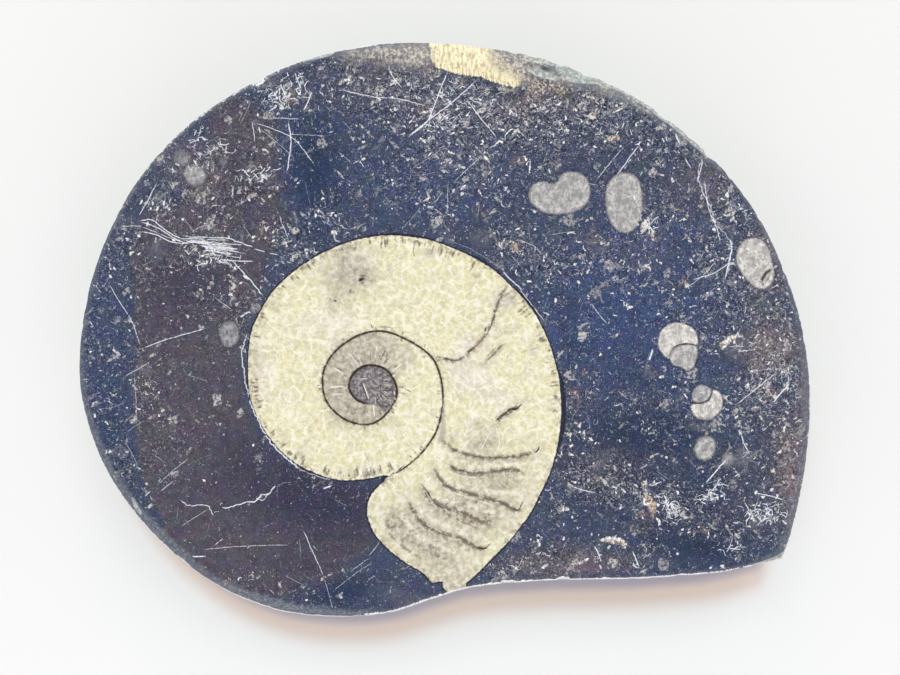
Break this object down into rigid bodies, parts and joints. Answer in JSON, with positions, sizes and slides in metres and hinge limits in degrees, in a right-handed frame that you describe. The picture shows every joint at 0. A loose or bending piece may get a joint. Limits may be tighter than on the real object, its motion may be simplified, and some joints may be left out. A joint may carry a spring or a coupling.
{
  "type": "ammonite fossil slab",
  "caption": "Polished black limestone plaque in a nautilus outline, with a coiled chambered shell cut flush in its face and a ground, bevelled rim.",
  "frame": {"origin": "middle of the plaque's outline, on the flat back that it lies on", "axes": "+X along the plaque's longest side, with its sharp corner at +X -Y; +Y across it; +Z out of the polished face"},
  "size_m": [0.12, 0.0946, 0.016],
  "materials": {
    "polished_fossil_stone": "polished black limestone face with a flush cream calcite shell section; ground grey rim and sawn back"
  },
  "bodies": {
    "root": {"fossil_slab": "polished_fossil_stone"}
  },
  "joints": []
}
